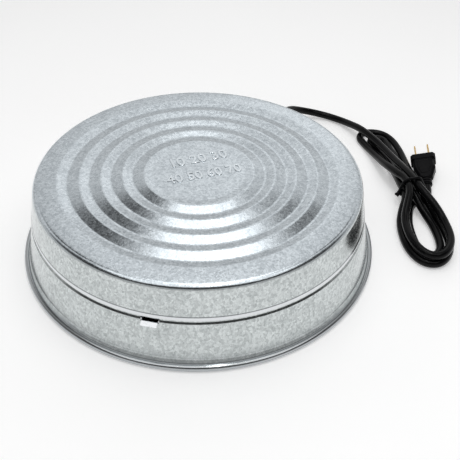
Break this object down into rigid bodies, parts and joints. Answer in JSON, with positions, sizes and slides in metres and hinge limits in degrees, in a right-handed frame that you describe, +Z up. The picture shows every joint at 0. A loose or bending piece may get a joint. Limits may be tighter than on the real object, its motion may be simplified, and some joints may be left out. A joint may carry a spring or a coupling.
{
  "type": "waterer heater base",
  "caption": "Round galvanised heated base with a ribbed lid that a poultry waterer stands on, holding a thermostat and heating pad, with a coiled power cord and plug.",
  "frame": {"origin": "centre of the rolled rim, on the plane the rim rests on", "axes": "+Z up through the lid, -Y towards the front seen in the picture, cord leaving at the back right (+X, +Y)"},
  "size_m": [0.3927, 0.3563, 0.071],
  "materials": {
    "galvanised_lid": "hot-dip galvanised, fine flecked spangle, satin",
    "galvanised_skirt": "hot-dip galvanised, streaky satin",
    "galvanised_inner": "galvanised, dull",
    "plated_steel": "zinc plated",
    "aluminium_sheet": "mill finish",
    "silicone_pad": "red-brown silicone, matte",
    "fibre_pad": "off-white fibre",
    "bimetal": "plain bimetal",
    "phenolic": "dark moulded phenolic",
    "ceramic_white": "glazed white",
    "brass_strip": "plain strip",
    "brass_blade": "polished blades",
    "wire_black": "insulated wire",
    "wire_white": "insulated wire",
    "wire_red": "insulated wire",
    "splice_grey": "crimp cap",
    "black_rubber": "soft black",
    "black_vinyl": "moulded black vinyl",
    "cord_black": "glossy black jacket",
    "tie_black": "black tie"
  },
  "bodies": {
    "base": {"lid": "galvanised_lid", "skirt": "galvanised_skirt", "deck": "galvanised_inner", "clamp_plate": "galvanised_inner", "lid_studs": "plated_steel", "clamp_nuts": "plated_steel", "deck_nuts": "plated_steel", "stud_washers": "plated_steel", "thermostat_rivets": "plated_steel", "heat_spreader": "aluminium_sheet", "thermostat_cap": "aluminium_sheet", "heating_pad": "silicone_pad", "insulation_pad": "fibre_pad", "bimetal_disc": "bimetal", "thermostat_body": "phenolic", "thermostat_base": "phenolic", "fixed_terminal": "brass_strip", "arm_terminal": "brass_strip", "tab_receptacles": "brass_strip", "plug_blades": "brass_blade", "wire_line": "wire_black", "wire_neutral": "wire_white", "wire_pad_return": "wire_white", "wire_load": "wire_red", "wire_splice": "splice_grey", "deck_grommet": "black_rubber", "cord_gland": "black_vinyl", "cord_inner": "cord_black", "cord_lead": "cord_black", "cord_hank": "cord_black", "cord_tie": "tie_black", "plug_body": "black_vinyl"},
    "arm": {"contact_arm": "brass_strip"},
    "pin": {"transfer_pin": "ceramic_white"}
  },
  "joints": [
    {"name": "pin_slide", "type": "slide", "parent": "base", "child": "pin", "axis": [0, 0, -1], "range_m": [0, 0.00045], "stiffness_N_per_m": 2, "springref_m": -0.001},
    {"name": "arm_flex", "type": "hinge", "parent": "base", "child": "arm", "pos_m": [-0.0034, 0, 0.06305], "axis": [0, 1, 0], "range_deg": [0, 8.5]}
  ],
  "couplings": [
    {"joint": "arm_flex", "follows": "pin_slide", "rad_per_m": 294.12}
  ]
}
